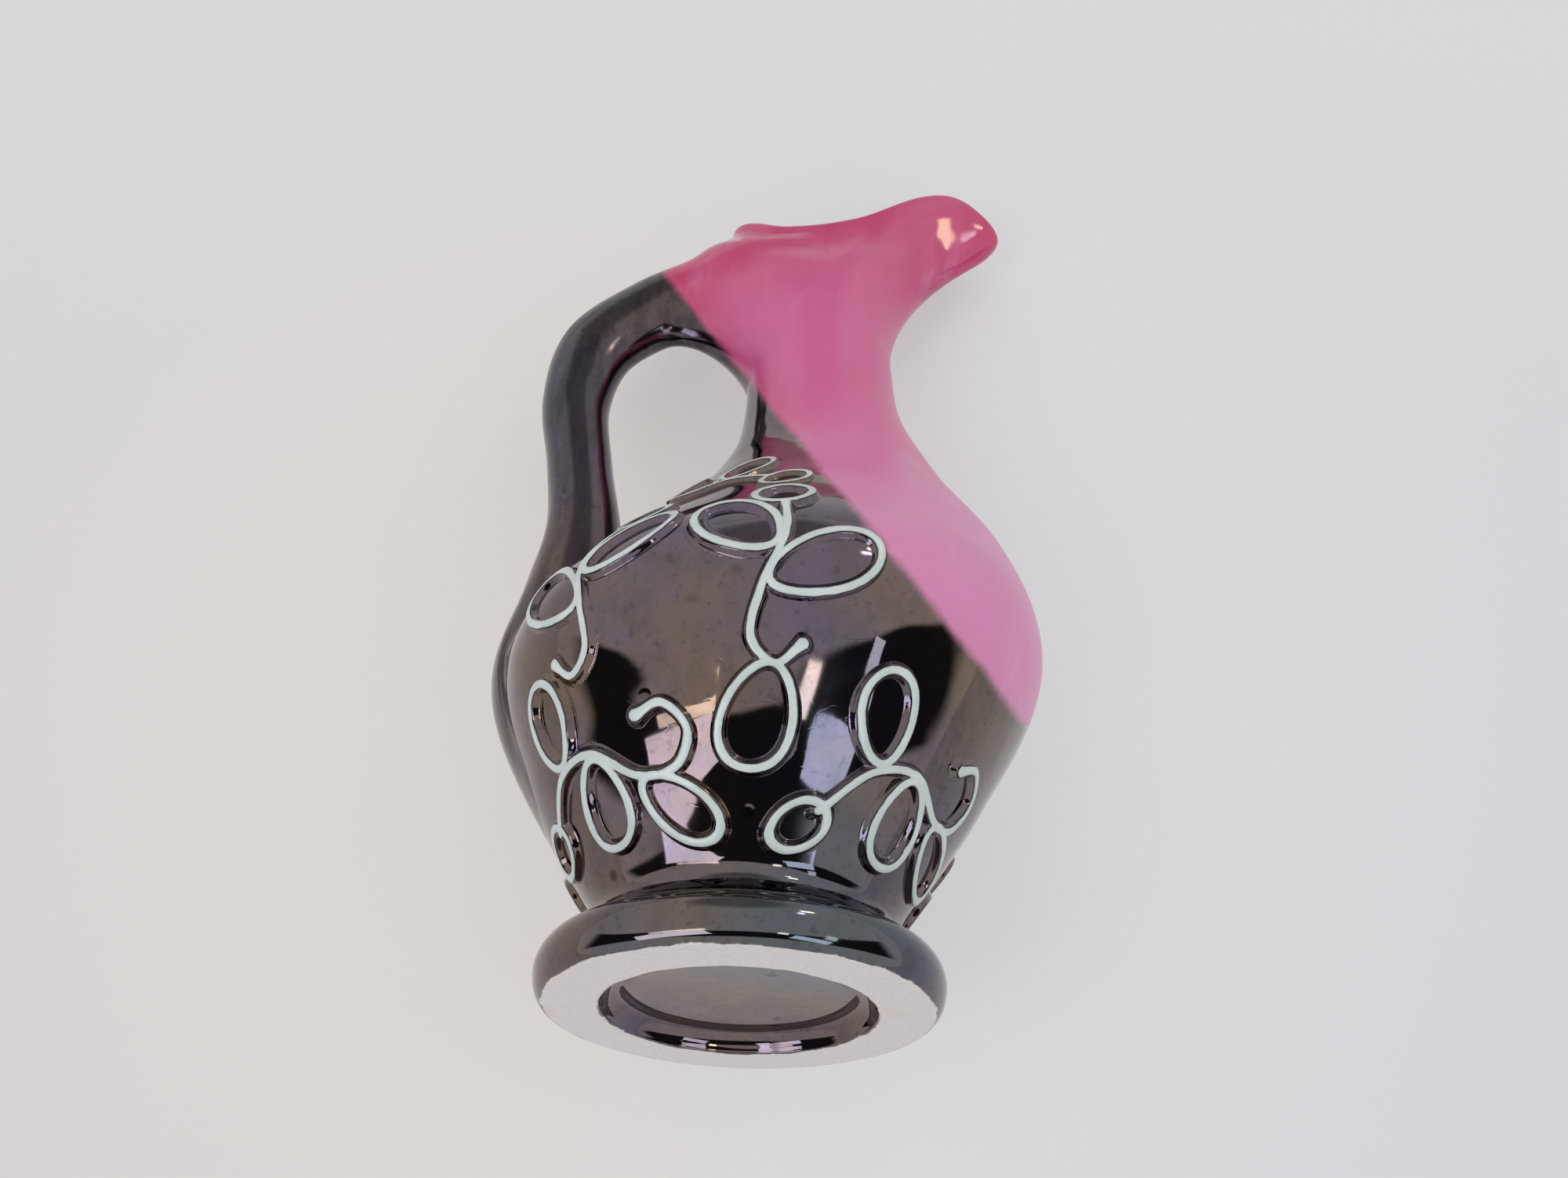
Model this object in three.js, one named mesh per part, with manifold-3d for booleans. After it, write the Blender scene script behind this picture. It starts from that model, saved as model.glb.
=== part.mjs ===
// A glazed earthenware carafe: a thrown belly luted on a turned foot ring, a neck drawn out into a
// pouring beak, a pulled handle, and sprigs of trailed slip laid on the belly.
// Millimetres, +Z up, the beak towards +X. The forms are drawn about the foot's axis, and the whole is
// then set back so that the origin lies under the middle between the handle and the tip of the beak.
import * as THREE from "three";
import { mergeVertices } from "three/addons/utils/BufferGeometryUtils.js";
import Module from "manifold-3d";

const wasm = await Module();
wasm.setup();

// Driving dimensions
const WALL = 5; // thickness of the thrown wall
const SET_BACK = 3.3; // from the foot's axis to the middle of the carafe's length
const SEAM = 0.3; // hairline left between two luted pieces
const AROUND = 48; // facets round the vessel

const FOOT_RADIUS = 38.8; // the foot's round edge
const BASE_RADIUS = 37.2; // outer edge of the flat ring that it stands on
const RECESS_RADIUS = 26; // inner edge of that ring
const RECESS_DEPTH = 4.5; // hollow under the foot
const WAIST_HEIGHT = 16.5; // seat of the belly on the foot ring
const WAIST_RADIUS = 29.3;

const SHOULDER_SEAM = 130; // belly and neck meet at this height
const THROAT_HEIGHT = 172; // narrowest place of the neck

// Outer profiles of the vessel, as [height, distance] pairs from the waist to the throat
const FRONT_PROFILE = [[16.5, 29.5], [42, 47.5], [72, 62.3], [98, 58.8], [124, 45], [148, 34.6], [172, 32.2]];
const BACK_PROFILE = [
  [16.5, -29], [42, -45], [70, -53], [98, -33.5], [112, -22.5], [124, -14.2], [136, -8.6], [149, -6.4], [172, -6],
];
const SIDE_PROFILE = [[16.5, 29.3], [42, 46], [70, 56], [96, 42.3], [112, 32], [128, 24.6], [148, 20.2], [172, 18.5]];

// The mouth: an egg-shaped rim, low at the sides and raised at the beak and at the back
const RIM_BACK = -11.5;
const RIM_TIP = 65.3;
const RIM_HALF_WIDTH = 13;
const RIM_TAPER = -3; // narrows the rim towards the beak
const BEAK_BLUNTNESS = 0.45; // widens the very tip of the beak, so that it ends round
const RIM_PROFILE = [[-11.5, 227], [3, 215.8], [22, 218.4], [43, 232.5], [54, 237.2], [65.3, 229.5]];
const LIP_ROUNDING = 2.2; // how far the rounded lip stands above the rim's edges
const THROAT_PULL = 0.62; // share of the mouth's height over which the wall rises before it flares
const KEEL_LIFT = 0.15; // share of that height by which the wall under the beak comes up early
const KEEL_TUCK = 4; // how far the wall under the beak is drawn back from the tip
const CHEEK_PINCH = 0.34; // how far the beak's cheeks are pressed in below the rim

// The handle: spine points as [x, z, half thickness, half width]
const HANDLE = [
  [8, 196, 18, 13.5],
  [-6, 202, 20, 13.5],
  [-19, 199, 14.5, 12],
  [-32.5, 191, 10.3, 10.2],
  [-45.5, 176, 8.8, 9.5],
  [-50.2, 156, 8.8, 9.5],
  [-46.6, 134, 8.1, 10],
  [-43, 113, 9, 11],
  [-42.5, 92, 12, 12.5],
  [-42.5, 70, 15, 15],
  [-37, 50, 12, 15],
];
const HANDLE_SQUARENESS = 2.5; // 2 is an ellipse, higher is boxier
const HANDLE_STEPS = 26;
const HANDLE_SIDES = 16;

// Trailed slip: a low bead with a flat underside
const TRAIL_HALF_WIDTH = 2;
const TRAIL_HEIGHT = 1.8;
const TRAIL_STEP = 4.6; // spacing of the rings along a stroke
const BLOB = 1.3; // how much a stroke swells at its free ends

// A smooth curve through [at, value] pairs
function throughPoints(points) {
  const last = points.length - 1;
  const slope = points.map((_, i) => {
    const before = points[Math.max(i - 1, 0)];
    const after = points[Math.min(i + 1, last)];
    return (after[1] - before[1]) / (after[0] - before[0]);
  });
  return (at) => {
    let i = 0;
    while (i < last - 1 && at > points[i + 1][0]) i += 1;
    const span = points[i + 1][0] - points[i][0];
    const t = THREE.MathUtils.clamp((at - points[i][0]) / span, 0, 1);
    const rise = t * t * (3 - 2 * t);
    const leave = t * (1 - t) * (1 - t) * span * slope[i];
    const arrive = t * t * (t - 1) * span * slope[i + 1];
    return points[i][1] * (1 - rise) + points[i + 1][1] * rise + leave + arrive;
  };
}

const front = throughPoints(FRONT_PROFILE);
const back = throughPoints(BACK_PROFILE);
const side = throughPoints(SIDE_PROFILE);
const rimHeight = throughPoints(RIM_PROFILE);

// A point of the vessel's wall, inset from its outer face
function wallPoint(angle, height, inset = 0) {
  const middle = (front(height) + back(height)) / 2;
  const halfLength = (front(height) - back(height)) / 2 - inset;
  const halfWidth = side(height) - inset;
  return new THREE.Vector3(middle + halfLength * Math.cos(angle), halfWidth * Math.sin(angle), height);
}

function rimPoint(angle, inset = 0, raise = 0) {
  const middle = (RIM_BACK + RIM_TIP) / 2;
  const halfLength = (RIM_TIP - RIM_BACK) / 2;
  const x = middle + halfLength * Math.cos(angle);
  const blunt = 1 + BEAK_BLUNTNESS * Math.max(Math.cos(angle), 0) ** 6;
  const halfWidth = (RIM_HALF_WIDTH + RIM_TAPER * Math.cos(angle)) * blunt;
  const narrowed = middle + (halfLength - inset) * Math.cos(angle);
  return new THREE.Vector3(narrowed, (halfWidth - inset) * Math.sin(angle), rimHeight(x) + raise);
}

// The mouth's wall rises from the throat and then flares to the rim
function mouthPoint(angle, share, inset = 0) {
  const start = wallPoint(angle, THROAT_HEIGHT, inset);
  const end = rimPoint(angle, inset);
  const tall = end.z - start.z;
  const rising = start.clone().setZ(start.z + tall * THROAT_PULL);
  const ahead = Math.max(Math.cos(angle), 0) ** 2;
  const lip = end.clone().setZ(end.z - tall * (1 - THROAT_PULL - KEEL_LIFT * ahead));
  lip.setX(lip.x - KEEL_TUCK * ahead);
  const point = new THREE.CubicBezierCurve3(start, rising, lip, end).getPoint(share);
  const pinch = CHEEK_PINCH * Math.max(Math.cos(angle), 0) * Math.sin(Math.PI * share ** 1.5) ** 2;
  return point.setY(point.y * (1 - pinch));
}

function ringOf(pointAt, count = AROUND) {
  return Array.from({ length: count }, (_, i) => pointAt((2 * Math.PI * i) / count));
}

function spread(from, to, steps) {
  return Array.from({ length: steps + 1 }, (_, i) => from + ((to - from) * i) / steps);
}

// Skins a row of rings. A loop joins its last ring to its first, otherwise both ends are capped.
function loft(rings, loop = false) {
  const count = rings[0].length;
  const points = rings.flat();
  const faces = [];
  const bands = loop ? rings.length : rings.length - 1;
  for (let j = 0; j < bands; j += 1) {
    const low = j * count;
    const high = ((j + 1) % rings.length) * count;
    for (let i = 0; i < count; i += 1) {
      const next = (i + 1) % count;
      faces.push(low + i, low + next, high + next, low + i, high + next, high + i);
    }
  }
  if (!loop) {
    const cap = (start, flip) => {
      const ring = points.slice(start, start + count);
      const centre = ring.reduce((sum, p) => sum.add(p), new THREE.Vector3()).divideScalar(count);
      points.push(centre);
      const hub = points.length - 1;
      for (let i = 0; i < count; i += 1) {
        const a = start + i;
        const b = start + ((i + 1) % count);
        faces.push(...(flip ? [hub, b, a] : [hub, a, b]));
      }
    };
    cap(0, true);
    cap((rings.length - 1) * count, false);
  }
  return new THREE.BufferGeometry().setFromPoints(points).setIndex(faces);
}

// Solids for cutting and joining, and the way back to a mesh
function solid(geometry) {
  const bare = geometry.clone();
  bare.deleteAttribute("normal");
  bare.deleteAttribute("uv");
  const merged = mergeVertices(bare, 1e-4);
  const mesh = new wasm.Mesh({
    numProp: 3,
    vertProperties: merged.attributes.position.array,
    triVerts: new Uint32Array(merged.index.array),
  });
  return new wasm.Manifold(mesh);
}

function geometryOf(manifold) {
  const mesh = manifold.getMesh();
  return new THREE.BufferGeometry()
    .setAttribute("position", new THREE.BufferAttribute(mesh.vertProperties, 3))
    .setIndex(new THREE.BufferAttribute(mesh.triVerts, 1));
}

// Foot ring: a round-edged ring with a flat bare underside and a coved bore
function footRing() {
  const top = WAIST_HEIGHT - SEAM;
  const outline = new THREE.Path();
  outline.moveTo(RECESS_RADIUS, 0);
  outline.lineTo(BASE_RADIUS, 0);
  outline.bezierCurveTo(FOOT_RADIUS + 0.6, 1, FOOT_RADIUS + 0.6, 8, FOOT_RADIUS - 3.5, 10.2);
  outline.quadraticCurveTo(WAIST_RADIUS + 1.2, 12, WAIST_RADIUS, top);
  outline.lineTo(RECESS_RADIUS - 4, top);
  outline.lineTo(RECESS_RADIUS - 4, RECESS_DEPTH);
  outline.quadraticCurveTo(RECESS_RADIUS - 0.8, RECESS_DEPTH - 1, RECESS_RADIUS, 0);
  const profile = outline.getPoints(4);
  const lathe = new THREE.LatheGeometry(profile, AROUND);
  return lathe.rotateX(Math.PI / 2);
}

// Belly: a closed bottom with a boss that fills the foot ring's bore, and an open shoulder
function belly() {
  const bossRadius = RECESS_RADIUS - 4 - SEAM;
  const disc = (radius, height) =>
    ringOf((angle) => new THREE.Vector3(radius * Math.cos(angle), radius * Math.sin(angle), height));
  const floorHeight = RECESS_DEPTH + WALL + 1;
  const heights = spread(WAIST_HEIGHT, SHOULDER_SEAM - SEAM, 13);
  const outer = heights.map((height) => ringOf((angle) => wallPoint(angle, height)));
  const inner = heights.map((height) => ringOf((angle) => wallPoint(angle, height, WALL))).reverse();
  const boss = [disc(bossRadius, RECESS_DEPTH), disc(bossRadius, WAIST_HEIGHT)];
  const floor = [disc(bossRadius - WALL, floorHeight)];
  return loft([...boss, ...outer, ...inner, ...floor]);
}

// Neck: a tube that flares into the egg-shaped mouth, with a rounded lip
function neck() {
  const tube = spread(SHOULDER_SEAM, THROAT_HEIGHT, 4);
  const flare = spread(0, 1, 8).slice(1);
  const outside = [
    ...tube.map((height) => ringOf((angle) => wallPoint(angle, height))),
    ...flare.map((share) => ringOf((angle) => mouthPoint(angle, share))),
  ];
  const inside = [
    ...tube.map((height) => ringOf((angle) => wallPoint(angle, height, WALL))),
    ...flare.map((share) => ringOf((angle) => mouthPoint(angle, share, WALL))),
  ].reverse();
  const lip = [0.25, 0.75].map((share) =>
    ringOf((angle) => rimPoint(angle, WALL * share, LIP_ROUNDING * 0.9)),
  );
  return loft([...outside, ...lip, ...inside], true);
}

// The vessel's outer form as one block, grown by the seam, which trims what is luted to it
function vesselBlock() {
  const tube = spread(WAIST_HEIGHT, THROAT_HEIGHT, 24);
  const flare = spread(0, 1, 9).slice(1);
  const rings = [
    ...tube.map((height) => ringOf((angle) => wallPoint(angle, height, -SEAM))),
    ...flare.map((share) => ringOf((angle) => mouthPoint(angle, share, -SEAM))),
  ];
  return loft(rings);
}

// Handle: a pulled strap that swells at both roots
function handle() {
  const spine = new THREE.CatmullRomCurve3(HANDLE.map(([x, z]) => new THREE.Vector3(x, 0, z)));
  const shares = HANDLE.map((_, i) => i / (HANDLE.length - 1));
  const halfThickness = throughPoints(HANDLE.map((p, i) => [shares[i], p[2]]));
  const halfWidth = throughPoints(HANDLE.map((p, i) => [shares[i], p[3]]));
  const rounded = (value) => Math.sign(value) * Math.abs(value) ** (2 / HANDLE_SQUARENESS);
  const rings = spread(0, 1, HANDLE_STEPS).map((share) => {
    const centre = spine.getPoint(share);
    const along = spine.getTangent(share);
    const across = new THREE.Vector3(along.z, 0, -along.x);
    return ringOf((angle) => {
      const out = halfThickness(share) * rounded(Math.cos(angle));
      const wide = halfWidth(share) * rounded(Math.sin(angle));
      return centre.clone().addScaledVector(across, out).add(new THREE.Vector3(0, wide, 0));
    }, HANDLE_SIDES);
  });
  return geometryOf(solid(loft(rings)).subtract(solid(vesselBlock())));
}

// Where a step of so many millimetres across and up the belly leads from a place on it
function alongBelly(angle, height, across, up) {
  let reached = height;
  for (let i = 0; i < 10; i += 1) {
    const lean = side(reached + 0.5) - side(reached - 0.5);
    reached += up / 10 / Math.hypot(1, lean);
  }
  const girth = (front(reached) - back(reached)) / 4 + side(reached) / 2;
  return { angle: angle + across / girth, height: reached };
}

function bellyNormal({ angle, height }) {
  const around = wallPoint(angle + 0.01, height).sub(wallPoint(angle - 0.01, height));
  const upward = wallPoint(angle, height + 0.3).sub(wallPoint(angle, height - 0.3));
  return around.cross(upward).normalize();
}

// Strokes of a sprig, drawn flat: a leaf loop, a ringlet and a stem
function leaf(x, y, degrees, length, width) {
  const turn = THREE.MathUtils.degToRad(degrees);
  const points = spread(0, 2 * Math.PI, 40).map((t) => {
    const along = (length / 2) * (1 - Math.cos(t));
    const across = (width / 2) * Math.sin(t) * (1 - 0.18 * Math.cos(t));
    return new THREE.Vector2(along, across).rotateAround(new THREE.Vector2(), turn);
  });
  return { closed: true, points: points.map((p) => p.add(new THREE.Vector2(x, y))) };
}

function ringlet(x, y, radius) {
  const points = spread(0, 2 * Math.PI, 32).map(
    (t) => new THREE.Vector2(x + radius * Math.cos(t), y + radius * Math.sin(t)),
  );
  return { closed: true, points };
}

function stem(...places) {
  const curve = new THREE.SplineCurve(places.map(([x, y]) => new THREE.Vector2(x, y)));
  return { closed: false, points: curve.getSpacedPoints(60) };
}

// One stroke laid on the belly as a bead of slip
function bead(stroke, place) {
  const lengths = [0];
  stroke.points.forEach((p, i) => {
    if (i > 0) lengths.push(lengths[i - 1] + p.distanceTo(stroke.points[i - 1]));
  });
  const total = lengths[lengths.length - 1];
  const steps = Math.max(8, Math.round(total / TRAIL_STEP));
  const spots = spread(0, total, steps).map((at) => {
    let i = 0;
    while (i < lengths.length - 2 && lengths[i + 1] < at) i += 1;
    const share = (at - lengths[i]) / (lengths[i + 1] - lengths[i]);
    const flat = stroke.points[i].clone().lerp(stroke.points[i + 1], share);
    const turned = new THREE.Vector2(flat.x * place.mirror, flat.y).multiplyScalar(place.scale);
    turned.rotateAround(new THREE.Vector2(), place.tilt);
    return alongBelly(place.angle, place.height, turned.x, turned.y);
  });
  if (stroke.closed) spots.pop();
  const centres = spots.map((spot) => wallPoint(spot.angle, spot.height));
  const normals = spots.map(bellyNormal);
  const count = spots.length;
  const rings = centres.map((centre, i) => {
    const after = stroke.closed ? (i + 1) % count : Math.min(i + 1, count - 1);
    const before = stroke.closed ? (i + count - 1) % count : Math.max(i - 1, 0);
    const forward = centres[after].clone().sub(centres[before]).normalize();
    const sideways = normals[i].clone().cross(forward).normalize();
    const free = !stroke.closed && (i < 2 || i > count - 3);
    const width = TRAIL_HALF_WIDTH * (free ? BLOB : 1);
    const section = [[-1, 0], [1, 0], [0.55, 1], [-0.55, 1]];
    return section.map(([wide, high]) =>
      centre
        .clone()
        .addScaledVector(normals[i], SEAM + high * TRAIL_HEIGHT)
        .addScaledVector(sideways, wide * width),
    );
  });
  return solid(loft(rings, stroke.closed));
}

function sprig(strokes, place) {
  const beads = strokes.map((stroke) => bead(stroke, place));
  return geometryOf(beads.reduce((joined, next) => joined.add(next)));
}

const FORK = [
  stem([-9, -17], [-5, -21], [0, -17], [0, -8], [-1, 2], [3, 12]),
  leaf(-1, -7, 148, 20, 11.5),
  leaf(0, 0, 28, 19, 11),
  ringlet(5.2, 16.5, 5),
];
const FORK_WITH_DROP = [...FORK, leaf(-4.5, -21, -86, 18, 12)];
const SCROLL = [
  stem([-18, -8], [-11, 1], [-1, 3], [9, -3], [17, -2], [21, 5], [17, 10.5], [11, 8.5]),
  leaf(-10, 3, 108, 19, 11),
  leaf(-1, 2, -86, 18, 11),
  leaf(10, -4, -46, 16, 10.5),
  ringlet(-20.5, -11.5, 5),
];
const CROOK = [
  stem([-16, -9], [-6, -5], [4, -6], [13, 0], [13, 8], [6, 9]),
  leaf(-5, -4, 100, 17, 10.5),
  ringlet(-20, -11.5, 5),
];

// Sprigs on one side of the carafe: tier, strokes, degrees round from the beak, height of the middle,
// tilt in degrees, 1 or -1 for the way it faces, and size. The other side mirrors them.
const PLACES = [
  ["low", SCROLL, 44, 33, 3, 1, 0.92],
  ["low", SCROLL, 131, 34, -4, 1, 0.92],
  ["mid", FORK_WITH_DROP, 90, 67.5, -6, -1, 1.03],
  ["mid", FORK, 129, 69, 4, 1, 0.94],
  ["top", CROOK, 121, 101, 8, -1, 0.85],
];

function named(name, geometry, material) {
  const mesh = new THREE.Mesh(geometry.translate(-SET_BACK, 0, 0), material);
  mesh.name = name;
  return mesh;
}

const blackLustre = new THREE.MeshStandardMaterial({ color: 0x2b2728, roughness: 0.2, metalness: 0.6 });
const pinkGlaze = new THREE.MeshStandardMaterial({ color: 0xcc5a8f, roughness: 0.2, metalness: 0 });
const celadonSlip = new THREE.MeshStandardMaterial({ color: 0xc8e1d7, roughness: 0.25, metalness: 0 });

const carafe = new THREE.Group();
carafe.add(named("foot_ring", footRing(), blackLustre));
carafe.add(named("belly", belly(), blackLustre));
carafe.add(named("neck", neck(), pinkGlaze));
carafe.add(named("handle", handle(), blackLustre));
for (const [hand, sign] of [["left", 1], ["right", -1]]) {
  PLACES.forEach(([tier, strokes, degrees, height, tilt, mirror, scale], i) => {
    const place = {
      angle: sign * THREE.MathUtils.degToRad(degrees),
      height,
      tilt: -sign * THREE.MathUtils.degToRad(tilt),
      mirror: -sign * mirror,
      scale,
    };
    carafe.add(named(`sprig_${hand}_${tier}_${i + 1}`, sprig(strokes, place), celadonSlip));
  });
}

export default carafe;
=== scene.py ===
# %% [markdown]
# # A glazed carafe
# The carafe is thrown pottery: a belly on a foot ring, a neck pulled out into a pouring beak, a handle,
# and lines of slip trailed on the belly. The CAD model gives the true sizes. This lesson rebuilds its
# surfaces finely enough for glossy glaze, and then paints the glazes with shader nodes.

import math

import bmesh
import bpy
from mathutils import Matrix, Vector, noise
from mathutils.bvhtree import BVHTree
from mathutils.kdtree import KDTree


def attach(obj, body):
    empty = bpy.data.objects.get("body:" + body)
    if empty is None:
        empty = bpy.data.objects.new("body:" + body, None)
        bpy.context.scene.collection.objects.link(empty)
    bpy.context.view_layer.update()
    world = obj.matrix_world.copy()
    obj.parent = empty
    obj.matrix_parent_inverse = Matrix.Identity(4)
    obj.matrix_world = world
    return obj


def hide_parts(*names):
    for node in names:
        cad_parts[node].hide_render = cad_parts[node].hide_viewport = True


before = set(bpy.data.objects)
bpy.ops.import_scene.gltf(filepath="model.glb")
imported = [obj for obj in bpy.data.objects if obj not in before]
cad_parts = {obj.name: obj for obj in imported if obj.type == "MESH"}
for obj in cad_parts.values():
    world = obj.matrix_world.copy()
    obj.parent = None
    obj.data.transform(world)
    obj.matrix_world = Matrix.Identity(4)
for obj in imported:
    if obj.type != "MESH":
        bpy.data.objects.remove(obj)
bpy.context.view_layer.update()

# %% [markdown]
# ## The camera
# The photograph looks up at the carafe from below its foot. The place and tilt of the lens follow from
# the two ellipses of the foot, whose sizes are known. A constraint could aim the camera, but it wouldn't
# keep the slight roll of the picture. So the matrix is written from three directions: where the lens
# looks, what is right in the picture and what is up in it.

# %% Camera
MM = 0.001
PITCH = math.radians(36.10)
ROLL = math.radians(2.02)
EYE = Vector((2.35, -230.94, -70.0)) * MM
FOCAL_PIXELS = 1560
PICTURE_WIDTH = 2000
SENSOR = 36

ahead = Vector((0, math.cos(PITCH), math.sin(PITCH)))
level_up = Vector((0, -math.sin(PITCH), math.cos(PITCH)))
picture_right = Vector((1, 0, 0)) * math.cos(ROLL) + level_up * math.sin(ROLL)
picture_up = level_up * math.cos(ROLL) - Vector((1, 0, 0)) * math.sin(ROLL)

lens = bpy.data.cameras.new("photo_lens")
lens.sensor_width = SENSOR
lens.lens = SENSOR * FOCAL_PIXELS / PICTURE_WIDTH
camera = bpy.data.objects.new("photo_camera", lens)
bpy.context.scene.collection.objects.link(camera)
axes = Matrix((picture_right, picture_up, -ahead)).transposed()
camera.matrix_world = Matrix.Translation(EYE) @ axes.to_4x4()
bpy.context.scene.camera = camera
print("lens of", round(lens.lens, 2), "mm")

# %% [markdown]
# ## Profiles
# A thrown pot is described by its profile. One profile spun round would do for an upright pot, but this
# one leans, so it has three: the front under the beak, the back under the handle, and the sides. Each is a
# smooth curve through a few heights in millimetres, drawn about the foot's axis. The CAD origin lies a
# little in front of that axis, under the middle of the carafe.

# %% Curves through a few measured points
SET_BACK = 3.3


def curve_through(points):
    """A smooth curve through (at, value) pairs."""
    last = len(points) - 1
    slopes = []
    for i in range(len(points)):
        before, after = points[max(i - 1, 0)], points[min(i + 1, last)]
        slopes.append((after[1] - before[1]) / (after[0] - before[0]))

    def value(at):
        i = 0
        while i < last - 1 and at > points[i + 1][0]:
            i += 1
        span = points[i + 1][0] - points[i][0]
        t = min(max((at - points[i][0]) / span, 0), 1)
        rise = t * t * (3 - 2 * t)
        leave = t * (1 - t) ** 2 * span * slopes[i]
        arrive = t * t * (t - 1) * span * slopes[i + 1]
        return points[i][1] * (1 - rise) + points[i + 1][1] * rise + leave + arrive

    return value


def path_point(points, share):
    """A point on a smooth path through points, from share 0 to share 1."""
    spans = len(points) - 1
    at = min(max(share, 0), 1) * spans
    i = min(int(at), spans - 1)
    t = at - i
    p1, p2 = Vector(points[i]), Vector(points[i + 1])
    p0 = Vector(points[i - 1]) if i > 0 else p1 * 2 - p2
    p3 = Vector(points[i + 2]) if i + 2 <= spans else p2 * 2 - p1
    return 0.5 * (
        p1 * 2
        + (p2 - p0) * t
        + (p0 * 2 - p1 * 5 + p2 * 4 - p3) * t * t
        + (p1 * 3 - p0 - p2 * 3 + p3) * t ** 3
    )


def spread(low, high, steps):
    return [low + (high - low) * i / steps for i in range(steps + 1)]


WAIST, WIDEST, THROAT = 16.5, 70, 172
front = curve_through([
    (WAIST, 29.5), (42, 47.5), (72, 62.3), (98, 58.8), (124, 45), (148, 34.6), (THROAT, 32.2),
])
back = curve_through([
    (WAIST, -29), (42, -45), (WIDEST, -53), (98, -33.5), (112, -22.5), (124, -14.2), (136, -8.6),
    (149, -6.4), (THROAT, -6),
])
side = curve_through([
    (WAIST, 29.3), (42, 46), (WIDEST, 56), (96, 42.3), (112, 32), (128, 24.6), (148, 20.2), (THROAT, 18.5),
])
RIM_BACK, RIM_TIP = -13, 65.3
rim_height = curve_through([
    (RIM_BACK, 225.4), (3, 215.8), (22, 219), (43, 233.6), (53, 236), (RIM_TIP, 227.3),
])
belly_length = front(WIDEST) - back(WIDEST)
print("belly is", round(belly_length), "mm long and", round(2 * side(WIDEST)), "mm wide")

# %% [markdown]
# ## The vessel
# The potter stuck foot ring, belly and neck together and glazed over the joins. They could be three shells,
# but a glossy glaze would show every seam, so one unbroken skin stands for all three. A column of points
# spun round the axis makes a plain tube of rings. Each ring is then set on its own section of the pot:
# circles at the foot, leaning ellipses in the belly, an egg shape at the rim, and back down the inside.

# %% Sections of the vessel
WALL = 5
RIM_HALF_WIDTH, RIM_TAPER = 13, -3
BEAK_BLUNTNESS, BLUNT_POWER = 0.45, 6
THROAT_PULL = 0.62
KEEL_LIFT, KEEL_TUCK = 0.15, 4
CHEEK_PINCH, PINCH_POWER = 0.34, 1.5
LIP = 2.1


def wall(angle, height, inset=0):
    a, b = front(height), back(height)
    x = (a + b) / 2 + ((a - b) / 2 - inset) * math.cos(angle)
    return Vector((x, (side(height) - inset) * math.sin(angle), height))


def rim(angle, inset=0, lift=0):
    middle, half = (RIM_BACK + RIM_TIP) / 2, (RIM_TIP - RIM_BACK) / 2
    height = rim_height(middle + half * math.cos(angle)) + lift
    blunt = 1 + BEAK_BLUNTNESS * max(math.cos(angle), 0) ** BLUNT_POWER
    half_width = (RIM_HALF_WIDTH + RIM_TAPER * math.cos(angle)) * blunt - inset
    return Vector((middle + (half - inset) * math.cos(angle), half_width * math.sin(angle), height))


def mouth(angle, share, inset=0):
    """The wall rises from the throat, flares to the rim, and has its cheeks pinched in under the beak."""
    start, end = wall(angle, THROAT, inset), rim(angle, inset)
    tall = end.z - start.z
    forward = max(math.cos(angle), 0)
    rising = start + Vector((0, 0, tall * THROAT_PULL))
    drop = tall * (1 - THROAT_PULL - KEEL_LIFT * forward ** 2)
    lip = end - Vector((KEEL_TUCK * forward ** 2, 0, drop))
    s, t = 1 - share, share
    point = start * s ** 3 + rising * (3 * s * s * t) + lip * (3 * s * t * t) + end * t ** 3
    point.y *= 1 - CHEEK_PINCH * forward * math.sin(math.pi * share ** PINCH_POWER) ** 2
    return point


def circle(angle, radius, height):
    return Vector((radius * math.cos(angle), radius * math.sin(angle), height))


print("rim is", round(RIM_TIP - RIM_BACK), "mm long")

# %% Rings from the foot to the floor inside
FOOT_OUTLINE = [
    (0, 4.6), (8, 4.5), (16, 4.1), (20.5, 3.7), (22.6, 3.9), (24.2, 3.4), (25.3, 2.1), (25.9, 0.6),
    (26.6, 0), (31, 0), (36, 0), (37.1, 0.3), (38.1, 1.6), (38.7, 3.6), (38.8, 5.3), (38.4, 7.1),
    (37.2, 9), (35.2, 10.3), (32.9, 11.2), (31, 12.3), (29.8, 13.9), (29.4, 15.4), (29.4, 16.5),
]
FLOOR_INSIDE = [(20, 14.5), (13, 12.6), (6, 12.1), (0, 12)]
FLOOR_EDGE = WAIST + 2
FOOT_RINGS, BELLY_RINGS, MOUTH_RINGS, LIP_RINGS = 88, 96, 36, 10
INNER_MOUTH_RINGS, INNER_BELLY_RINGS = 18, 40
rings = []
for share in spread(0, 1, FOOT_RINGS):
    radius, height = path_point(FOOT_OUTLINE, share)
    rings.append(lambda a, r=max(radius, 0), z=max(height, 0): circle(a, r, z))
for height in spread(WAIST, THROAT, BELLY_RINGS)[1:]:
    rings.append(lambda a, z=height: wall(a, z))
for share in spread(0, 1, MOUTH_RINGS)[1:]:
    rings.append(lambda a, s=share: mouth(a, s))
for turn in spread(0, math.pi, LIP_RINGS)[1:-1]:
    inset, lift = WALL * (1 - math.cos(turn)) / 2, LIP * math.sin(turn)
    rings.append(lambda a, i=inset, up=lift: rim(a, i, up))
for share in spread(1, 0, INNER_MOUTH_RINGS):
    rings.append(lambda a, s=share: mouth(a, s, WALL))
for height in spread(THROAT, FLOOR_EDGE, INNER_BELLY_RINGS)[1:]:
    rings.append(lambda a, z=height: wall(a, z, WALL))
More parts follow.
